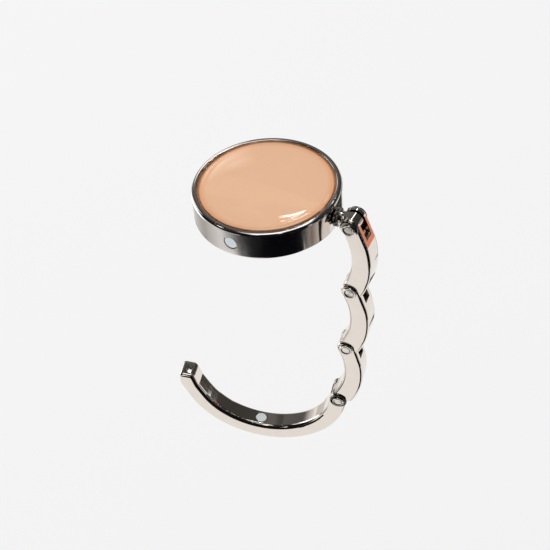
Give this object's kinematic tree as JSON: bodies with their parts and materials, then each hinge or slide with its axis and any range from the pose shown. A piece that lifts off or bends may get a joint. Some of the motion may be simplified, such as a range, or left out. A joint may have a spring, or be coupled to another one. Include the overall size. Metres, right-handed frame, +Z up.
{
  "type": "folding purse hook",
  "caption": "Round table-top disc with a swivelling chain of hinged links and a long curved hook that folds round the disc to close as a ring on magnets.",
  "frame": {"origin": "centre of the underside of the grip pad, the face that rests on the table", "axes": "+Z up along the disc's axis, +X from the disc's axis towards the swivel, +Y to the side on which the chain folds round the disc; the hanging chain points to -Z"},
  "size_m": [0.0673, 0.045, 0.1094],
  "materials": {
    "nickel_case": "bright nickel plating, mirror polished, on the disc's case",
    "peach_print": "peach printed paper, plain",
    "clear_resin": "clear domed resin",
    "steel_cover": "pressed steel sheet",
    "black_rubber": "matt black rubber",
    "magnet_nickel": "nickel-plated magnet, cooler in tone",
    "dark_steel": "dark polished steel of the swivel",
    "spring_steel": "spring steel",
    "rivet_steel": "satin steel rivets and washers",
    "polished_nickel": "bright nickel plating on zinc alloy, mirror polished with a warm tone"
  },
  "bodies": {
    "disc": {"disc_case": "nickel_case", "printed_insert": "peach_print", "clear_dome": "clear_resin", "base_cover": "steel_cover", "grip_pad": "black_rubber", "disc_magnet": "magnet_nickel"},
    "swivel": {"swivel_stem": "dark_steel", "swivel_washer": "spring_steel", "swivel_clip": "spring_steel", "swivel_collar": "dark_steel"},
    "rivet_1": {"pin_1": "rivet_steel", "rim_washer_1_near": "rivet_steel", "rim_washer_1_far": "rivet_steel"},
    "upper_link": {"link_1": "polished_nickel"},
    "rivet_2": {"pin_2": "rivet_steel"},
    "middle_link": {"link_2": "polished_nickel"},
    "rivet_3": {"pin_3": "rivet_steel"},
    "lower_link": {"link_3": "polished_nickel"},
    "rivet_4": {"pin_4": "rivet_steel", "rim_washer_4_near": "rivet_steel", "rim_washer_4_far": "rivet_steel"},
    "hook": {"hook_link": "polished_nickel", "hook_magnet": "magnet_nickel"}
  },
  "joints": [
    {"name": "swivel_turn", "type": "hinge", "parent": "disc", "child": "swivel", "pos_m": [0.0284, 0, 0.0051], "axis": [1, 0, 0], "range_deg": [-90, 90]},
    {"name": "hinge_1_play", "type": "hinge", "parent": "swivel", "child": "rivet_1", "pos_m": [0.0284, 0, 0.0051], "axis": [0, 0, 1], "range_deg": [-4, 0]},
    {"name": "hinge_1_fold", "type": "hinge", "parent": "rivet_1", "child": "upper_link", "pos_m": [0.0284, 0, 0.0051], "axis": [-0.0698, 0.9976, 0], "range_deg": [0, 31.59]},
    {"name": "hinge_2_play", "type": "hinge", "parent": "upper_link", "child": "rivet_2", "pos_m": [0.02753, -0.00006, -0.02128], "axis": [0.0331, 0.0023, 0.9995], "range_deg": [-4, 0]},
    {"name": "hinge_2_fold", "type": "hinge", "parent": "rivet_2", "child": "middle_link", "pos_m": [0.02753, -0.00006, -0.02128], "axis": [-0.1391, 0.9903, 0.0023], "range_deg": [0, 51.76]},
    {"name": "hinge_3_play", "type": "hinge", "parent": "middle_link", "child": "rivet_3", "pos_m": [0.02524, -0.00032, -0.04757], "axis": [0.0865, 0.0098, 0.9962], "range_deg": [-4, 0]},
    {"name": "hinge_3_fold", "type": "hinge", "parent": "rivet_3", "child": "lower_link", "pos_m": [0.02524, -0.00032, -0.04757], "axis": [-0.2076, 0.9782, 0.0084], "range_deg": [0, 57.9]},
    {"name": "hinge_4_play", "type": "hinge", "parent": "lower_link", "child": "rivet_4", "pos_m": [0.02157, -0.00088, -0.0737], "axis": [0.1391, 0.021, 0.9901], "range_deg": [-4, 0]},
    {"name": "hinge_4_fold", "type": "hinge", "parent": "rivet_4", "child": "hook", "pos_m": [0.02157, -0.00088, -0.0737], "axis": [-0.2746, 0.9614, 0.0182], "range_deg": [0, 31]}
  ],
  "couplings": [
    {"joint": "hinge_1_play", "follows": "hinge_1_fold", "ratio": -0.12662},
    {"joint": "hinge_2_play", "follows": "hinge_2_fold", "ratio": -0.077279},
    {"joint": "hinge_3_play", "follows": "hinge_3_fold", "ratio": -0.069084},
    {"joint": "hinge_4_play", "follows": "hinge_4_fold", "ratio": -0.12903}
  ]
}
